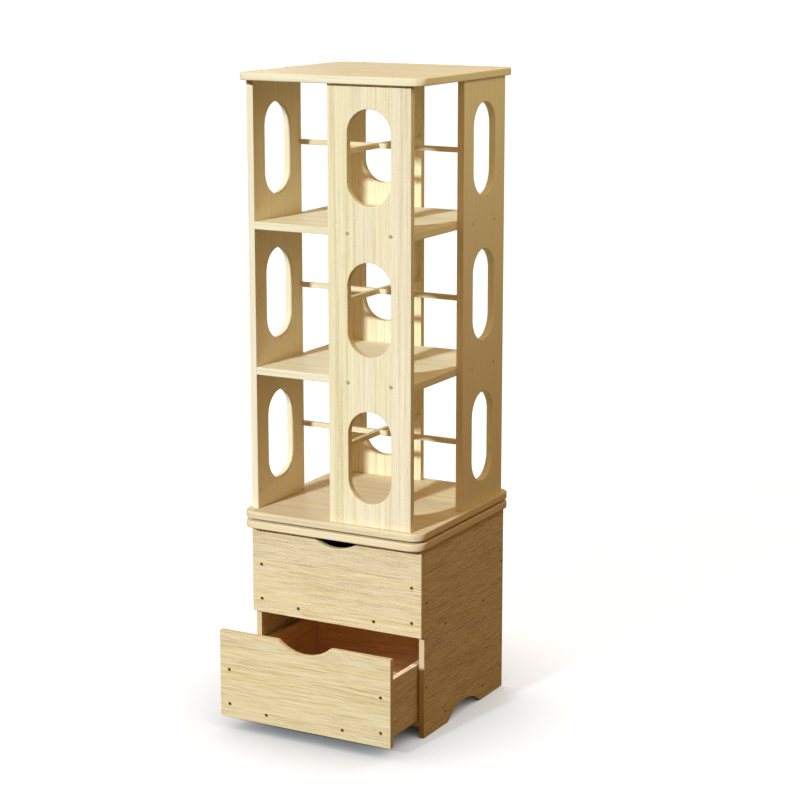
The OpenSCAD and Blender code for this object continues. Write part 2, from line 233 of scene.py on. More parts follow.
floor_finish, tree = empty_material("floor")
bounce = output(tree, "ShaderNodeBsdfDiffuse", {"Color": BOUNCE_BROWN})
shaded = output(tree, "ShaderNodeBsdfDiffuse", {"Color": COOL_PAPER})
nearness = add_node(tree, "ShaderNodeAmbientOcclusion", {"Distance": SHADE_REACH}, samples=SHADE_SAMPLES)
glow_level = math_node(tree, "MULTIPLY", nearness.outputs["AO"], GLOW_LEVEL)
glow = output(tree, "ShaderNodeEmission", {"Color": WHITE, "Strength": glow_level})
pale = output(tree, "ShaderNodeMixShader", {0: GLOW_SHARE, 1: shaded, 2: glow})
both = output(tree, "ShaderNodeMixShader", {0: seen_directly(tree), 1: bounce, 2: pale})
add_node(tree, "ShaderNodeOutputMaterial", {"Surface": both})

ends = (-FLOOR_HALF, FLOOR_HALF)
floor_mesh = bpy.data.meshes.new("floor")
floor_mesh.from_pydata([(x, y, FLOOR_LIFT) for x in ends for y in ends], [], [(0, 2, 3, 1)])
floor_mesh.materials.append(floor_finish)
floor = bpy.data.objects.new("floor", floor_mesh)
scene.collection.objects.link(floor)
print("floor side:", 2 * FLOOR_HALF, "m")

# %% [markdown]
# The wood. On the real boards the grain runs up the tower's panels, and along the drawer fronts and the
# sides of the base. It is fine and straight: soft bands about two centimetres wide, thin streaks in them,
# short dark pores and tiny flecks. A picture of wood wrapped round a board would show the same face on
# every edge. A pattern in space doesn't: it is drawn out along the grain, and each board cuts its faces,
# edges and ends out of it as a saw would. On the ends, where the fibres are cut across, it would look
# like sand. A board's mesh will carry an attribute that tells its ends, and the wood is calmer there.
# Slow changes of hue keep a broad face from looking printed, and the fibres also roughen the lacquer.

# %% Wood layers
BAND_GAP = 0.018
FIBRE_GAP = 0.0008
FLECK_GAP = 0.0016
PORE_GAP = 0.0006
HUE_GAP = 0.060
SWAY = 0.012
SWAY_SCALE = 9.0
SEED_SHIFT = (1.0, 0.7, 1.3)
MIDDLE = 0.5


def layer(tree, vector, gap, detail=2.0, roughness=0.55):
    """Noise around zero whose patches are about one gap wide, in metres."""
    made = add_node(tree, "ShaderNodeTexNoise", {
        "Vector": vector, "Scale": 1.0 / gap, "Detail": detail, "Roughness": roughness})
    return math_node(tree, "SUBTRACT", made.outputs["Fac"], MIDDLE)


def heap(tree, base, *shares):
    """A base value with layers added to it, each by its weight."""
    total = base
    for value, weight in shares:
        total = output(tree, "ShaderNodeMath", {0: value, 1: weight, 2: total}, operation="MULTIPLY_ADD")
    return total


def drawn_out(tree, place, along, stretch, seed):
    """Coordinates in which a pattern lies drawn out along the grain, with a little sway across it."""
    scale = [1.0, 1.0, 1.0]
    scale["XYZ".index(along)] = stretch
    shift = tuple(share * seed for share in SEED_SHIFT)
    straight = output(tree, "ShaderNodeMapping", {
        "Vector": place, "Scale": tuple(scale), "Location": shift})
    wander = add_node(tree, "ShaderNodeTexNoise", {
        "Vector": straight, "Scale": SWAY_SCALE, "Detail": 2.0})
    return output(tree, "ShaderNodeVectorMath", {
        0: wander.outputs["Color"], 1: (SWAY, SWAY, SWAY), 2: straight}, operation="MULTIPLY_ADD")


def tone_ramp(tree, value, tones):
    """A colour between evenly spaced tones, the first at 0 and the last at 1."""
    ramp = add_node(tree, "ShaderNodeValToRGB", {0: value})
    stops = ramp.color_ramp.elements
    while len(stops) < len(tones):
        stops.new(MIDDLE)
    for number, (stop, tone) in enumerate(zip(stops, tones)):
        stop.position = number / (len(tones) - 1)
        stop.color = linear(*tone)
    return ramp.outputs["Color"]


print("wood layers from", 1000 * PORE_GAP, "mm to", 1000 * HUE_GAP, "mm")

# %% Wood recipe
STREAK_SHARE = 1.1
FIBRE_SHARE = 0.6
PORE_START = 0.17
PORE_FULL = 0.24
PORE_SHADE = -0.12
HUE_SWING = 0.03
END_START = 0.6
END_FULL = 0.95
END_SHARE = 0.35
WOOD_ROUGHNESS = 0.58
RELIEF_STRENGTH = 0.25
RELIEF_DEPTH = 0.0003
COAT_WEIGHT = 0.08
COAT_ROUGHNESS = 0.4

Grain = namedtuple("Grain", "vivid stretch streak_gap band_share fleck_share")


def end_calm(tree):
    """1 on faces along the grain, and a small share on the ends, where the fibres are cut across."""
    end = add_node(tree, "ShaderNodeAttribute", attribute_name="end").outputs["Fac"]
    return output(tree, "ShaderNodeMapRange", {
        "Value": end, "From Min": END_START, "From Max": END_FULL, "To Min": 1.0, "To Max": END_SHARE})


def wood(name, along, tones, grain, seed):
    """Lacquered wood. Tones run from late to early wood, and a small stretch means long grain."""
    made, tree = empty_material(name)
    made["grain"] = "XYZ".index(along)
    place = add_node(tree, "ShaderNodeTexCoord").outputs["Object"]
    drawn = drawn_out(tree, place, along, grain.stretch, seed)
    bands = layer(tree, drawn, BAND_GAP, detail=1.0)
    streaks = layer(tree, drawn, grain.streak_gap, roughness=0.5)
    fibres = layer(tree, drawn, FIBRE_GAP)
    flecks = layer(tree, place, FLECK_GAP, detail=0.0)
    hues = layer(tree, drawn, HUE_GAP, detail=1.0)
    specks = layer(tree, drawn, PORE_GAP, detail=0.0)
    pores = output(tree, "ShaderNodeMapRange", {
        "Value": specks, "From Min": PORE_START, "From Max": PORE_FULL})

    vivid = grain.vivid
    coarse = heap(tree, 0.0, (bands, grain.band_share * vivid), (streaks, STREAK_SHARE * vivid))
    pattern = heap(tree, coarse, (fibres, FIBRE_SHARE * vivid), (flecks, grain.fleck_share * vivid))
    tone = heap(tree, MIDDLE, (pattern, end_calm(tree)))
    colour = output(tree, "ShaderNodeHueSaturation", {
        "Color": tone_ramp(tree, tone, tones),
        "Hue": heap(tree, MIDDLE, (hues, HUE_SWING)),
        "Saturation": heap(tree, 1.0, (bands, 0.35), (hues, 0.4)),
        "Value": heap(tree, 1.0, (pores, PORE_SHADE * vivid)),
    })

    gloss = heap(tree, WOOD_ROUGHNESS, (fibres, -0.25), (streaks, -0.12))
    relief = heap(tree, MIDDLE, (fibres, 0.5), (streaks, 0.4), (pores, -0.5))
    bump = output(tree, "ShaderNodeBump", {
        "Height": relief, "Strength": RELIEF_STRENGTH, "Distance": RELIEF_DEPTH})
    skin = output(tree, "ShaderNodeBsdfPrincipled", {
        "Base Color": colour, "Roughness": gloss, "Normal": bump, "Specular IOR Level": 0.0,
        "Coat Weight": COAT_WEIGHT, "Coat Roughness": COAT_ROUGHNESS})
    add_node(tree, "ShaderNodeOutputMaterial", {"Surface": skin})
    return made


print("wood recipe ready, relief", 1000 * RELIEF_DEPTH, "mm")

# %% Wood finishes
IVORY = ((218, 200, 157), (242, 231, 200), (251, 244, 222))
CREAM = ((217, 197, 152), (238, 224, 190), (248, 236, 206))
STRAW = ((208, 186, 138), (235, 220, 182), (246, 236, 208))
WHEAT = ((206, 180, 133), (234, 216, 180), (245, 232, 206))
TAN = ((186, 156, 106), (226, 206, 165), (240, 226, 194))
# Painted light: a slightly paler, cooler copy of TAN for the sides, which lifts the shade they stand in.
TAN_LIFTED_FOR_SHADE = ((186, 158, 112), (226, 209, 175), (240, 229, 203))
PEACH = ((196, 164, 116), (218, 193, 150), (232, 214, 178))
# Painted shade: rosy tones for the drawers' inner faces, standing for the reddened shade inside a box.
ROSY_PAINTED_SHADE = ((220, 163, 108), (249, 207, 165), (253, 228, 198))

BOARD = Grain(vivid=0.90, stretch=0.020, streak_gap=0.0036, band_share=0.6, fleck_share=0.25)
PANEL = Grain(vivid=1.30, stretch=0.012, streak_gap=0.0040, band_share=0.7, fleck_share=0.4)
# Painted light: a calmer grain for the left and right panels, set for their look in shade.
SHADED_PANEL = Grain(vivid=0.62, stretch=0.012, streak_gap=0.0028, band_share=0.2, fleck_share=0.4)
BAR = Grain(vivid=1.00, stretch=0.030, streak_gap=0.0030, band_share=0.9, fleck_share=0.25)
FRONT = Grain(vivid=1.20, stretch=0.026, streak_gap=0.0020, band_share=0.3, fleck_share=0.5)
BOX = Grain(vivid=1.40, stretch=0.030, streak_gap=0.0020, band_share=0.4, fleck_share=0.6)
SIDE = Grain(vivid=1.90, stretch=0.026, streak_gap=0.0018, band_share=0.3, fleck_share=0.9)
SIDE_EDGE = SIDE._replace(vivid=1.40)

finishes = {
    "board": wood("pine_board", "X", IVORY, BOARD, seed=1.0),
    "deck": wood("pine_deck", "X", WHEAT, BOARD, seed=1.5),
    "panel": wood("pine_panel", "Z", CREAM, PANEL, seed=2.0),
    # Painted light: the side panels are the front panels' wood, given the lighter board tone for their
    # shade.
    "panel_set_for_shade": wood("pine_panel_set_for_shade", "Z", IVORY, SHADED_PANEL, seed=2.5),
    "bar": wood("pine_bar", "X", STRAW, BAR, seed=3.0),
    "bar_across": wood("pine_bar_across", "Y", STRAW, BAR, seed=4.0),
    "front": wood("pine_front", "X", TAN, FRONT, seed=5.0),
    # Painted light: the drawer sides and base sides take the paler copy of the fronts' tone, to lift
    # their shade.
    "box": wood("pine_box", "Y", TAN_LIFTED_FOR_SHADE, BOX, seed=6.0),
    "box_across": wood("pine_box_across", "X", TAN, BOX, seed=7.0),
    # Painted shade: the same wood as the boxes, given rosier tones for the shade inside them.
    "bare": wood("pine_inside_painted_shade", "Y", ROSY_PAINTED_SHADE, BOX, seed=6.0),
    "inside_painted_shade_across": wood("pine_inside_painted_shade_across", "X", ROSY_PAINTED_SHADE, BOX, seed=7.0),
    "side": wood("pine_side", "Y", TAN_LIFTED_FOR_SHADE, SIDE, seed=8.0),
    "side_edge": wood("pine_side_edge", "Y", PEACH, SIDE_EDGE, seed=8.0),
    "inner": wood("pine_inner", "X", TAN, BOX, seed=9.0),
}
print("wood finishes:", sorted(finishes))

# %% [markdown]
# The metal. The tower's screws are yellow zinc and those of the base and the drawers a dark bronze, both
# too dull to mirror much. The swivel hidden between the two halves has turned aluminium rings and
# polished balls. One even colour would do for each, but plating is never quite even, so every metal gets
# a faint mottle in its colour and roughness. The rings carry the marks of a lathe, which are noise that
# only changes with the distance from the axis. A screw's rim is painted darker than its face: painted
# shade, for the shadow in the gap round the head. No place in space tells the two apart, so the screw's
# mesh will carry an attribute for it, and the metal reads that.

# %% Metal recipe
METAL_SPECULAR = 0.1
MOTTLE_SHARE = 1.2
MOTTLE_GLOSS = 0.2
MOTTLE_STRENGTH = 0.15
MOTTLE_DEPTH = 0.0002


def lathe_place(tree, place):
    """Coordinates that only change with the distance from the upright axis."""
    flat = output(tree, "ShaderNodeVectorMath", {0: place, 1: (1.0, 1.0, 0.0)}, operation="MULTIPLY")
    reach = add_node(tree, "ShaderNodeVectorMath", {0: flat}, operation="LENGTH")
    return output(tree, "ShaderNodeCombineXYZ", {"X": reach.outputs["Value"]})


def metal(name, tones, mottle_gap, roughness, turned=False, rim_shade=None, metallic=1.0):
    """Uneven metal. The lathe's marks run round if it is turned, and a rim gets darker tones as painted
    shade.
    """
    made, tree = empty_material(name)
    place = add_node(tree, "ShaderNodeTexCoord").outputs["Object"]
    if turned:
        place = lathe_place(tree, place)
    mottle = layer(tree, place, mottle_gap)
    tone = heap(tree, MIDDLE, (mottle, MOTTLE_SHARE))
    colour = tone_ramp(tree, tone, tones)
    # Painted shade: the rim of a screw head takes darker tones, for the shadow in the gap round the head.
    if rim_shade:
        ring = add_node(tree, "ShaderNodeAttribute", attribute_name="ring").outputs["Fac"]
        rim_shade_colour = tone_ramp(tree, tone, rim_shade)
        mixed = add_node(tree, "ShaderNodeMix", {0: ring, 6: colour, 7: rim_shade_colour}, data_type="RGBA")
        colour = mixed.outputs[2]
    gloss = heap(tree, roughness, (mottle, MOTTLE_GLOSS))
    bump = output(tree, "ShaderNodeBump", {
        "Height": mottle, "Strength": MOTTLE_STRENGTH, "Distance": MOTTLE_DEPTH})
    skin = output(tree, "ShaderNodeBsdfPrincipled", {
        "Base Color": colour, "Roughness": gloss, "Normal": bump, "Metallic": metallic,
        "Specular IOR Level": METAL_SPECULAR})
    add_node(tree, "ShaderNodeOutputMaterial", {"Surface": skin})
    return made


print("metal recipe ready, relief", 1000 * MOTTLE_DEPTH, "mm")

# %% Metal finishes
ZINC_TONES = ((190, 178, 132), (216, 206, 166))
# Painted shade: rim tones darker than the heads' own, for the shadow in the gap round each head.
ZINC_PAINTED_RIM_SHADE = ((70, 56, 28), (100, 84, 48))
BRONZE_TONES = ((84, 61, 18), (112, 83, 32))
BRONZE_PAINTED_RIM_SHADE = ((48, 32, 6), (72, 51, 14))
BRIGHT_TONES = ((176, 178, 180), (222, 224, 226))
RING_TONES = ((180, 182, 186), (226, 228, 232))
BALL_TONES = ((196, 198, 202), (232, 234, 238))
PLATING_GAP = 0.0011
LATHE_GAP = 0.0006
POLISH_GAP = 0.0020

metals = {
    "zinc": metal(
        "yellow_zinc", ZINC_TONES, PLATING_GAP, roughness=0.55, rim_shade=ZINC_PAINTED_RIM_SHADE, metallic=0.3),
    "bronze": metal(
        "dark_bronze", BRONZE_TONES, PLATING_GAP, roughness=0.50, rim_shade=BRONZE_PAINTED_RIM_SHADE, metallic=0.1),
    "bright": metal("bright_zinc", BRIGHT_TONES, PLATING_GAP, roughness=0.30),
    "ring": metal("turned_aluminium", RING_TONES, LATHE_GAP, roughness=0.34, turned=True),
    "ball": metal("polished_steel", BALL_TONES, POLISH_GAP, roughness=0.10),
}
finishes.update(metals)
print("metal finishes:", sorted(metals))

# %% [markdown]
# The screws' places. Every board is held by countersunk screws, and the frame already has each of them as
# a solid. Typing their places again would invite mistakes, so they are measured: a screw's solid is
# longest along its axis, and its wider end is the head. The same places serve twice, to leave the screw
# holes sharp when the boards' edges are eased, and to set the finished screws.

# %% Separate solids
MERGE_M = 2e-6


def merged(node):
    """The node's loose triangles joined to one surface, as a new bmesh."""
    shape = bmesh.new()
    shape.from_mesh(frame["nodes"][node].data)
    bmesh.ops.remove_doubles(shape, verts=shape.verts, dist=MERGE_M)
    return shape


def islands(node):
    """The separate solids of a node, each as a list of its points."""
    shape = merged(node)
    left = set(shape.verts)
    found = []
    while left:
        reached = [left.pop()]
        for vert in reached:
            for edge in vert.link_edges:
                other = edge.other_vert(vert)
                if other in left:
                    left.remove(other)
                    reached.append(other)
        found.append([vert.co.copy() for vert in reached])
    shape.free()
    return found


def span_of(points):
    """The middle and the size of the box round some points."""
    low = Vector(min(p[i] for p in points) for i in range(3))
    high = Vector(max(p[i] for p in points) for i in range(3))
    return (low + high) / 2, high - low


print("solids in the top board's screws:", len(islands("top_screws")))

# %% Measure the screws
Screw = namedtuple("Screw", "head out length width")
DIGITS = 5
SCREW_FINISHES = {
    "top_screws": "zinc", "shelf_screws": "zinc", "tower_base_screws": "zinc",
    "base_top_screws": "bronze", "base_side_screws": "bronze",
    "upper_drawer_screws": "bronze", "lower_drawer_screws": "bronze",
    "swivel_turning_screws": "bright", "swivel_fixed_screws": "bright",
}


def aside(step, axis):
    """How far a step leads away from an axis."""
    return math.hypot(*(step[i] for i in range(3) if i != axis))


def screw_places(node):
    """Every screw of a node: the middle of its head, the way out of the board, its length and width."""
    places = []
    for points in islands(node):
        middle, size = span_of(points)
        axis = max(range(3), key=lambda i: size[i])
        crown = max(points, key=lambda p: aside(p - middle, axis))
        out = Vector((0.0, 0.0, 0.0))
        out[axis] = math.copysign(1.0, crown[axis] - middle[axis])
        head = middle + out * (size[axis] / 2)
        width = 2 * aside(crown - middle, axis)
        places.append(Screw(head, out, round(size[axis], DIGITS), round(width, DIGITS)))
    return sorted(places, key=lambda screw: tuple(screw.head))


screws = {node: screw_places(node) for node in SCREW_FINISHES}
print("screws:", {node: len(places) for node, places in screws.items()})

# %% [markdown]
# Eased edges. No edge of a real board is sharp: a router rounds it by a millimetre or two, and that thin
# curve catches the light and makes a board look like wood. A Bevel modifier on the frame's mesh would
# also round every screw hole. So a copy is merged and its flat faces joined, every corner edge gets a
# weight except those near a screw's axis, and the modifier rounds by weight. Hardened normals then keep
# the broad faces flat. At last every face stores how squarely it cuts the grain, which the wood reads.

# %% Weigh the edges
SCREW_CLEAR = 0.0045
SCREW_MARGIN = 0.002
CORNER_ANGLE = math.radians(40)
FLAT_ANGLE = math.radians(0.4)
BROAD_AREA = 0.0001
RIM = 1.4
all_screws = [screw for places in screws.values() for screw in places]


def near_screw(point):
    for screw in all_screws:
        along = (screw.head - point).dot(screw.out)
        beside = (screw.head - point - screw.out * along).length
        if -SCREW_MARGIN < along < screw.length + SCREW_MARGIN and beside < SCREW_CLEAR:
            return True
    return False


def flat_regions(shape):
    """Groups of faces that lie in one plane and touch."""
    left = set(shape.faces)
    while left:
        region = [left.pop()]
        for face in region:
            for edge in face.edges:
                for other in edge.link_faces:
                    if other in left and other.normal.angle(face.normal) < FLAT_ANGLE:
                        left.remove(other)
                        region.append(other)
        yield region


def weighed(node, ease):
    """A node's surface with a rim round its flat faces and a weight on the edges to be rounded."""
    shape = merged(node)
    bmesh.ops.dissolve_limit(shape, angle_limit=FLAT_ANGLE, verts=shape.verts, edges=shape.edges)
    shape.normal_update()
    for region in list(flat_regions(shape)):
        if sum(face.calc_area() for face in region) > BROAD_AREA:
            bmesh.ops.inset_region(shape, faces=region, thickness=RIM * ease, use_even_offset=True)
    weight = shape.edges.layers.float.new("bevel_weight_edge")
    for edge in shape.edges:
        if len(edge.link_faces) == 2 and edge.calc_face_angle() > CORNER_ANGLE:
            edge.smooth = not all(near_screw(vert.co) for vert in edge.verts)
            edge[weight] = 1.0 if edge.smooth else 0.0
    for face in shape.faces:
        face.smooth = True
    return shape


print("screws whose holes stay sharp:", len(all_screws))

# %% Round the edges
SECOND_FINISH_TURN = 0.9


def stands_for(piece, node, slot):
    """Lets a piece ride where a node rides and take its place. The slot it is given is not used."""
    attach(piece, frame["nodes"][node]["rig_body"])
    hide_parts(node)


def rounded(piece, ease, segments):
    """The plain mesh that a piece has once its weighed edges are rounded."""
    bevel = piece.modifiers.new("ease", "BEVEL")
    bevel.limit_method = "WEIGHT"
    bevel.width = ease
    bevel.segments = segments
    bevel.use_clamp_overlap = False
    bevel.harden_normals = True
    made = bpy.data.meshes.new_from_object(piece.evaluated_get(bpy.context.evaluated_depsgraph_get()))
    piece.modifiers.clear()
    return made


def mark_ends(mesh, finish):
    """Stores on every face how squarely it cuts the grain, from 0 along it to 1 on an end."""
    if "grain" in finish:
        end = mesh.attributes.new("end", "FLOAT", "FACE")
        for datum, face in zip(end.data, mesh.polygons):
            datum.value = abs(face.normal[finish["grain"]])


def eased_copy(node, finish, slot, ease, segments=3, bare=None):
    """A copy of a node with rounded edges, which takes its place. One side may have another finish."""
    shape = weighed(node, ease)
    rough = bpy.data.meshes.new(node + "_rough")
    shape.to_mesh(rough)
    shape.free()
    piece = bpy.data.objects.new(node + "_eased", rough)
    scene.collection.objects.link(piece)
    made = rounded(piece, ease, segments)
    piece.data = made
    bpy.data.meshes.remove(rough)
    made.name = node + "_eased"
    made.materials.clear()
    made.materials.append(finishes[finish])
    mark_ends(made, finishes[finish])
    if bare:
        second_finish, facing = bare
        made.materials.append(finishes[second_finish])
        for face in made.polygons:
            face.material_index = int(face.normal.dot(Vector(facing)) > SECOND_FINISH_TURN)
    stands_for(piece, node, slot)


print("a side is bare within", round(math.degrees(math.acos(SECOND_FINISH_TURN))), "degrees of its direction")

# %% [markdown]
# The boards. Hands touch the three square boards with round corners most, so their edges are rounded
# most. Shelves, panels and sides have only lost their sharpness, and slim pieces are rounded least. One
# ease for all would be simpler, but then the tower would look cast in one mould. The sides of the base
# show the cut ends of their fibres in front, in a warmer tone than their faces.

# %% Tower boards
SQUARE_EASE = 0.0022
SQUARE_STEPS = 4
PANEL_EASE = 0.0012
BOARD_EASE = 0.0010
SLIM_EASE = 0.0008

eased_copy("top_board", "board", "board_wood", SQUARE_EASE, SQUARE_STEPS)
eased_copy("tower_base", "deck", "board_wood", SQUARE_EASE, SQUARE_STEPS)
for node in ("shelf_upper", "shelf_lower"):
    eased_copy(node, "board", "board_wood", BOARD_EASE)
for node in ("panel_front", "panel_rear"):
    eased_copy(node, "panel", "panel_wood", PANEL_EASE)
for node in ("panel_left", "panel_right"):
    eased_copy(node, "panel_set_for_shade", "panel_wood", PANEL_EASE)
for tier in ("upper", "middle", "lower"):
    eased_copy("stop_bar_x_" + tier, "bar", "bar_wood", SLIM_EASE)
    eased_copy("stop_bar_y_" + tier, "bar_across", "bar_wood", SLIM_EASE)
print("tower boards eased by up to", 1000 * SQUARE_EASE, "mm")

# %% Base boards
TO_RIGHT = (1.0, 0.0, 0.0)
TO_LEFT = (-1.0, 0.0, 0.0)
TO_FRONT = (0.0, -1.0, 0.0)
UPWARDS = (0.0, 0.0, 1.0)

eased_copy("base_top", "deck", "board_wood", SQUARE_EASE, SQUARE_STEPS)
for node in ("base_side_left", "base_side_right"):
    eased_copy(node, "side", "base_side_wood", BOARD_EASE, bare=("side_edge", TO_FRONT))
for node in ("base_back", "base_divider", "base_bottom"):
    eased_copy(node, "inner", "base_inner_wood", SLIM_EASE)
print("base boards eased by up to", 1000 * SQUARE_EASE, "mm")

# %% [markdown]
# The drawers. Their insides are painted rosier than their outer faces: painted shade, which stands for
# the reddened shade deep inside a drawer of this wood. A second material on a board's inner face carries
# that colour, and the face's normal tells which one it is. The inside also lies in deep shade. The main
# light is a plain sun, which would pass through the dip of a pull and draw a hard bright patch on the
# back.
# Turning the lamp would cure that but change every other shadow. Light linking is the smaller step: a
# collection lists the boards that this lamp leaves out, and all other light still reaches them. The
# upper edges of the sides are the opposite case. They shine in the light from above, which would flood
# the rest, so they get a steep lamp of their own that reaches no other board.

# %% Drawers
DRAWERS = ("upper_drawer", "lower_drawer")
BOX_PARTS = (
    # Painted shade: each box board's inner face takes the rosy finish, for the reddened shade inside.
    ("_side_left", "box", "bare", TO_RIGHT),
    ("_side_right", "box", "bare", TO_LEFT),
    ("_back", "box_across", "inside_painted_shade_across", TO_FRONT),
    ("_bottom", "box_across", "inside_painted_shade_across", UPWARDS),
)

for drawer in DRAWERS:
    eased_copy(drawer + "_front", "front", "drawer_front_wood", BOARD_EASE)
    for part, finish, second_finish, facing in BOX_PARTS:
        eased_copy(drawer + part, finish, "drawer_box_wood", SLIM_EASE, bare=(second_finish, facing))
print("boards in each drawer:", 1 + len(BOX_PARTS))

# %% Light in the drawers
def tie_lamp(lamp, name, parts):
    """Ties a lamp to parts of both drawers, by a collection that lists them."""
    group = bpy.data.collections.new(name)
    for drawer in DRAWERS:
        for part in parts:
            group.objects.link(bpy.data.objects[drawer + part + "_eased"])
    lamp.light_linking.receiver_collection = group
    return group


kept_dark = tie_lamp(key_lamp, "kept_dark", ("_back", "_side_left"))
for member in kept_dark.collection_objects:
    member.light_linking.link_state = "EXCLUDE"
rim_lamp = sun_lamp(
    "rim_lamp", towards=(0.0, 0.2, -1.0), strength=2.4, disc=3, colour=(0.95, 0.93, 1.0))
lit_rims = tie_lamp(rim_lamp, "lit_rims", ("_side_left", "_side_right"))
print("kept dark:", [member.name for member in kept_dark.objects])
print("rims lit:", [member.name for member in lit_rims.objects])

# %% [markdown]
# The swivel's rings. They are turned from plate, and a lathe only breaks an edge by a fraction of a
# millimetre. A revolved profile would make them from nothing, but the frame's rings already have their
# grooves and screw holes, so they are eased as the boards are, and less.

# %% Swivel rings
RING_EASE = 0.0003
RING_STEPS = 2

for node in ("swivel_turning_ring", "swivel_fixed_ring"):
    eased_copy(node, "ring", "ring_aluminium", RING_EASE, RING_STEPS)
print("swivel rings eased by", 1000 * RING_EASE, "mm")

# %% [markdown]
# Geometry Nodes for what repeats. A screw is made once, and a tree of nodes sets a copy at every place
# that was measured. Copying meshes in a Python loop would do as well, but a tree keeps the screw's sizes
# as inputs that can be changed by hand later. Helpers open a tree with named inputs, close it and run it
# on a set of points. The result is made real and turned into a plain mesh, because an export keeps no
# instances.

# %% Tree helpers
def open_tree(name, inputs):
    """A new tree, its input sockets by name, and the identifiers that a modifier knows them by."""
    tree = bpy.data.node_groups.new(name, "GeometryNodeTree")
    keys = {}
    for title, kind in inputs.items():
        made = tree.interface.new_socket(title, in_out="INPUT", socket_type="NodeSocket" + kind)
        keys[title] = made.identifier
    tree.interface.new_socket("Geometry", in_out="OUTPUT", socket_type="NodeSocketGeometry")
    return tree, add_node(tree, "NodeGroupInput").outputs, keys


def close_tree(tree, instances, finish):
    """Ends a tree: instances become real and get their finish."""
    real = output(tree, "GeometryNodeRealizeInstances", {0: instances})
    bare = output(tree, "GeometryNodeRemoveAttribute", {"Geometry": real, "Name": "drive"})
    dressed = output(tree, "GeometryNodeSetMaterial", {"Geometry": bare, "Material": finish})
    add_node(tree, "NodeGroupOutput", {0: dressed})


def grown(name, points, drives, tree, keys, values):
    """The plain mesh that a tree grows on points, each of which has a direction to be driven in."""
    seeds = bpy.data.meshes.new(name + "_places")
    seeds.from_pydata(points, [], [])
    drive = seeds.attributes.new("drive", "FLOAT_VECTOR", "POINT")
    for datum, direction in zip(drive.data, drives):
        datum.vector = direction
    holder = bpy.data.objects.new(name + "_places", seeds)
    scene.collection.objects.link(holder)
    modifier = holder.modifiers.new("grow", "NODES")
    modifier.node_group = tree
    for title, value in values.items():
        modifier[keys[title]] = value
    made = bpy.data.meshes.new_from_object(holder.evaluated_get(bpy.context.evaluated_depsgraph_get()))
    bpy.data.objects.remove(holder)
    bpy.data.meshes.remove(seeds)
    return made


print("tree helpers ready")

# %% [markdown]
# The screw. Its head is a low dome with a thin bevelled rim that narrows to the core, and a hexagonal
# socket is cut into it. Four circles inside one convex hull give exactly that head. The thread is a
# cylinder whose points are pushed out wherever a spiral passes, so it stays one closed surface. The parts
# are joined by booleans once, before any copy is made. Every point then stores how far out on the head it
# lies, so that the metal can darken the rim with painted shade. A seed turns every screw differently, as
# a hand would leave them.

# %% Screw head and socket
HEAD_SIDES = 32
CROWN_SHARE = 0.55


def raised(tree, geometry, height):
    lift = output(tree, "ShaderNodeCombineXYZ", {"Z": height})
    return output(tree, "GeometryNodeTransform", {"Geometry": geometry, "Translation": lift})


def half(tree, value):
    return math_node(tree, "MULTIPLY", value, 0.5)


def screw_head(tree, sizes):
    """Convex hull of four circles: the crown, the face's edge, the rim and the neck."""
    wide = half(tree, sizes["Head diameter"])
    face = math_node(tree, "SUBTRACT", wide, sizes["Rim bevel"])
    neck = half(tree, sizes["Core diameter"])
    rim_z = math_node(tree, "MULTIPLY", sizes["Rim bevel"], -1.0)
    neck_z = math_node(tree, "SUBTRACT", neck, wide)
    crown = math_node(tree, "MULTIPLY", wide, CROWN_SHARE)
    hull = add_node(tree, "GeometryNodeJoinGeometry")
    for radius, height in ((crown, sizes["Dome height"]), (face, 0.0), (wide, rim_z), (neck, neck_z)):
        circle = output(tree, "GeometryNodeMeshCircle", {"Vertices": HEAD_SIDES, "Radius": radius})
        tree.links.new(raised(tree, circle, height), hull.inputs[0])
    return output(tree, "GeometryNodeConvexHull", {0: hull.outputs[0]})


def screw_socket(tree, sizes):
    """A hexagonal bar, which is cut out of the head."""
    corner = math_node(tree, "MULTIPLY", sizes["Socket width"], 1.0 / math.sqrt(3.0))
    deep = math_node(tree, "MULTIPLY", sizes["Socket depth"], 2.0)
    return output(tree, "GeometryNodeMeshCylinder", {
        "Vertices": 6, "Radius": corner, "Depth": deep}, fill_type="NGON")


print("screw head has", HEAD_SIDES, "sides")

# %% Screw thread
THREAD_SIDES = 12
ROWS_PER_COIL = 4.0
POINT_SHARE = 0.12


def point_parts(tree):
    place = output(tree, "GeometryNodeInputPosition")
    return add_node(tree, "ShaderNodeSeparateXYZ", {0: place}).outputs


def thread_reach(tree, sizes, around, down, depth):
    """How far out a point of the thread lies, by its angle and its way down. The tip is drawn in."""
    turns = math_node(tree, "DIVIDE", down, sizes["Thread pitch"])
    phase = math_node(tree, "FRACT", heap(tree, turns, (around, 0.5 / math.pi)))
    ridge = math_node(tree, "PINGPONG", math_node(tree, "MULTIPLY", phase, 2.0), 1.0)
    raise_by = math_node(tree, "MULTIPLY", ridge, sizes["Thread height"])
    radius = math_node(tree, "ADD", half(tree, sizes["Core diameter"]), raise_by)
    left = math_node(tree, "DIVIDE", math_node(tree, "SUBTRACT", depth, down), sizes["Head diameter"])
    taper = math_node(tree, "MAXIMUM", math_node(tree, "MINIMUM", left, 1.0), POINT_SHARE)
    return math_node(tree, "MULTIPLY", radius, taper)


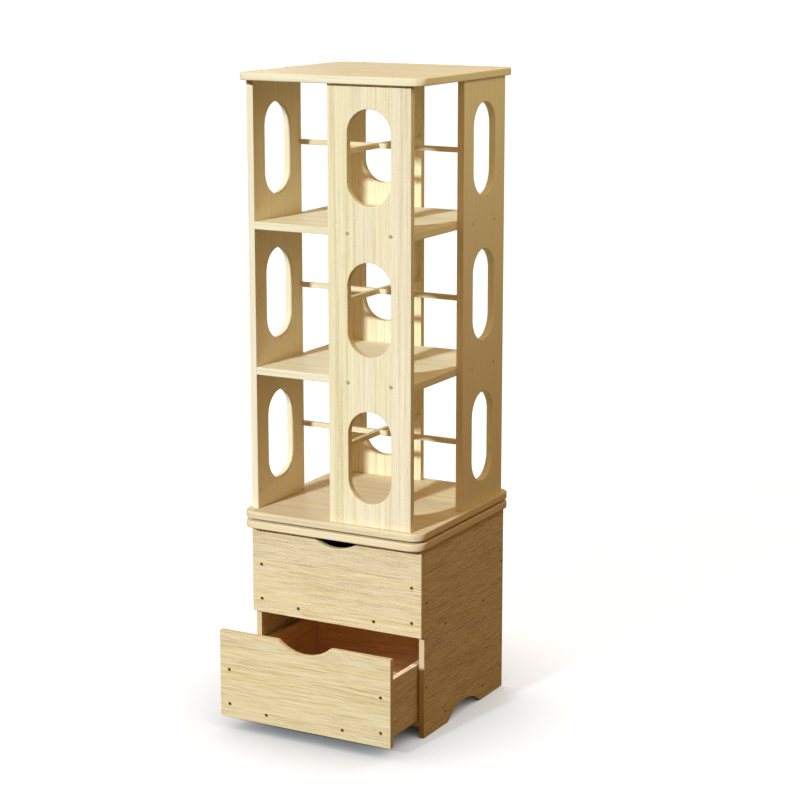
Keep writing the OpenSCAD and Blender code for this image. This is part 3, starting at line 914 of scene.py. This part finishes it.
def screw_thread(tree, sizes):
    """A cylinder of the shank's length, pushed out along a spiral and drawn in to a point."""
    coils = math_node(tree, "DIVIDE", sizes["Length"], sizes["Thread pitch"])
    rows = math_node(tree, "MULTIPLY", coils, ROWS_PER_COIL)
    depth = math_node(tree, "SUBTRACT", sizes["Length"], sizes["Rim bevel"])
    tube = output(tree, "GeometryNodeMeshCylinder", {
        "Vertices": THREAD_SIDES, "Side Segments": rows, "Radius": half(tree, sizes["Core diameter"]),
        "Depth": depth}, fill_type="NGON")
    x, y, z = point_parts(tree)
    around = math_node(tree, "ARCTAN2", y, x)
    down = math_node(tree, "SUBTRACT", half(tree, depth), z)
    reach = thread_reach(tree, sizes, around, down, depth)
    place = output(tree, "ShaderNodeCombineXYZ", {
        "X": math_node(tree, "MULTIPLY", math_node(tree, "COSINE", around), reach),
        "Y": math_node(tree, "MULTIPLY", math_node(tree, "SINE", around), reach),
        "Z": z})
    shaped = output(tree, "GeometryNodeSetPosition", {"Geometry": tube, "Position": place})
    ends_apart = math_node(tree, "ADD", sizes["Length"], sizes["Rim bevel"])
    return raised(tree, shaped, math_node(tree, "MULTIPLY", ends_apart, -0.5))


print("screw thread has", THREAD_SIDES, "sides and", ROWS_PER_COIL, "rows in a coil")

# %% Screw surface
SHARP_ANGLE = math.radians(28)
# Painted shade: where the metal begins to darken the head, and where the rim is fully dark.
RIM_SHADE_START = 0.55
RIM_SHADE_FULL = 0.85


def marked_rim_shade(tree, geometry, sizes):
    """Stores how far out on the head a point lies, 0 on the crown to 1 at the rim, which is painted
    shade.
    """
    x, y, _ = point_parts(tree)
    flat = output(tree, "ShaderNodeCombineXYZ", {"X": x, "Y": y})
    reach = add_node(tree, "ShaderNodeVectorMath", {0: flat}, operation="LENGTH").outputs["Value"]
    share = math_node(tree, "DIVIDE", reach, half(tree, sizes["Head diameter"]))
    ring = output(tree, "ShaderNodeMapRange", {
        "Value": share, "From Min": RIM_SHADE_START, "From Max": RIM_SHADE_FULL})
    return output(tree, "GeometryNodeStoreNamedAttribute", {
        "Geometry": geometry, "Name": "ring", "Value": ring}, data_type="FLOAT", domain="POINT")


def shaded_smooth(tree, geometry):
    """Smooth shading that stops at sharp edges."""
    angle = add_node(tree, "GeometryNodeInputMeshEdgeAngle").outputs["Unsigned Angle"]
    sharp = math_node(tree, "GREATER_THAN", angle, SHARP_ANGLE)
    soft = output(tree, "GeometryNodeSetShadeSmooth", {"Geometry": geometry, "Shade Smooth": True})
    return output(tree, "GeometryNodeSetShadeSmooth", {
        "Geometry": soft, "Selection": sharp, "Shade Smooth": False}, domain="EDGE")


print("screw edges stay sharp above", round(math.degrees(SHARP_ANGLE)), "degrees")

# %% Assemble the screw tree
screw_tree, sizes, screw_keys = open_tree("screw_rows", {
    "Places": "Geometry", "Head diameter": "Float", "Rim bevel": "Float", "Core diameter": "Float",
    "Thread height": "Float", "Thread pitch": "Float", "Length": "Float", "Dome height": "Float",
    "Socket width": "Float", "Socket depth": "Float", "Seed": "Int", "Finish": "Material"})

whole = add_node(screw_tree, "GeometryNodeMeshBoolean", operation="UNION")
screw_tree.links.new(screw_head(screw_tree, sizes), whole.inputs["Mesh 2"])
screw_tree.links.new(screw_thread(screw_tree, sizes), whole.inputs["Mesh 2"])
cut = add_node(screw_tree, "GeometryNodeMeshBoolean", {
    "Mesh 1": whole.outputs["Mesh"]}, operation="DIFFERENCE")
screw_tree.links.new(screw_socket(screw_tree, sizes), cut.inputs["Mesh 2"])
marked = marked_rim_shade(screw_tree, cut.outputs["Mesh"], sizes)
screw = shaded_smooth(screw_tree, marked)

drive = output(screw_tree, "GeometryNodeInputNamedAttribute", {"Name": "drive"}, data_type="FLOAT_VECTOR")
aligned = output(screw_tree, "FunctionNodeAlignRotationToVector", {"Vector": drive}, axis="Z")
chance = add_node(screw_tree, "FunctionNodeRandomValue", {"Seed": sizes["Seed"]}, data_type="FLOAT")
spin_angle = math_node(screw_tree, "MULTIPLY", chance.outputs[1], math.tau)
spin_angles = output(screw_tree, "ShaderNodeCombineXYZ", {"Z": spin_angle})
spin_turn = output(screw_tree, "FunctionNodeEulerToRotation", {0: spin_angles})
turned = output(screw_tree, "FunctionNodeRotateRotation", {
    "Rotation": aligned, "Rotate By": spin_turn}, rotation_space="LOCAL")
rows = output(screw_tree, "GeometryNodeInstanceOnPoints", {
    "Points": sizes["Places"], "Instance": screw, "Rotation": turned})
close_tree(screw_tree, rows, sizes["Finish"])
print("screw tree nodes:", len(screw_tree.nodes))

# %% Drive the screws
SCREW_SIZES = {
    "Rim bevel": 0.0004, "Core diameter": 0.0024, "Thread height": 0.0005, "Thread pitch": 0.0018,
    "Socket width": 0.0025, "Socket depth": 0.0015,
}
SCREW_SLOTS = {"zinc": "zinc_screw", "bronze": "dark_screw", "bright": "bright_screw"}
DOME_HEIGHTS = {"zinc": 0.0007, "bronze": 0.0003, "bright": 0.0}

for number, (node, places) in enumerate(screws.items()):
    finish = SCREW_FINISHES[node]
    shape = bmesh.new()
    for length in sorted({screw.length for screw in places}):
        row = [screw for screw in places if screw.length == length]
        made = grown(node, [s.head for s in row], [s.out for s in row], screw_tree, screw_keys, {
            **SCREW_SIZES, "Dome height": DOME_HEIGHTS[finish], "Head diameter": row[0].width,
            "Length": length, "Seed": number, "Finish": finishes[finish]})
        shape.from_mesh(made)
        bpy.data.meshes.remove(made)
    mesh = bpy.data.meshes.new(node + "_driven")
    shape.to_mesh(mesh)
    shape.free()
    mesh.materials.append(finishes[finish])
    piece = bpy.data.objects.new(node + "_driven", mesh)
    scene.collection.objects.link(piece)
    stands_for(piece, node, SCREW_SLOTS[finish])
    print(node, len(places), "screws,", len(mesh.polygons), "faces")

# %% [markdown]
# The balls of the swivel. They roll between two rings and show only as glints in the gap under the tower.
# Their middles are measured in the frame, and a short tree sets a smooth ball at each of them. A sphere
# of rings and segments would do too, but an icosphere has no poles that a glint could give away.

# %% Ball ring
BALL_STEPS = 4
ball_tree, sizes, ball_keys = open_tree("ball_ring", {
    "Places": "Geometry", "Ball diameter": "Float", "Finish": "Material"})
ball = output(ball_tree, "GeometryNodeMeshIcoSphere", {
    "Radius": half(ball_tree, sizes["Ball diameter"]), "Subdivisions": BALL_STEPS})
smooth = output(ball_tree, "GeometryNodeSetShadeSmooth", {"Geometry": ball, "Shade Smooth": True})
balls = output(ball_tree, "GeometryNodeInstanceOnPoints", {"Points": sizes["Places"], "Instance": smooth})
close_tree(ball_tree, balls, sizes["Finish"])

spans = [span_of(points) for points in islands("swivel_balls")]
ball_mesh = grown("swivel_balls", [middle for middle, size in spans], [UPWARDS] * len(spans),
                  ball_tree, ball_keys, {"Ball diameter": spans[0][1].z, "Finish": finishes["ball"]})
ball_ring = bpy.data.objects.new("swivel_balls_polished", ball_mesh)
scene.collection.objects.link(ball_ring)
stands_for(ball_ring, "swivel_balls", "ball_steel")
print("balls:", len(spans), "faces:", len(ball_mesh.polygons))
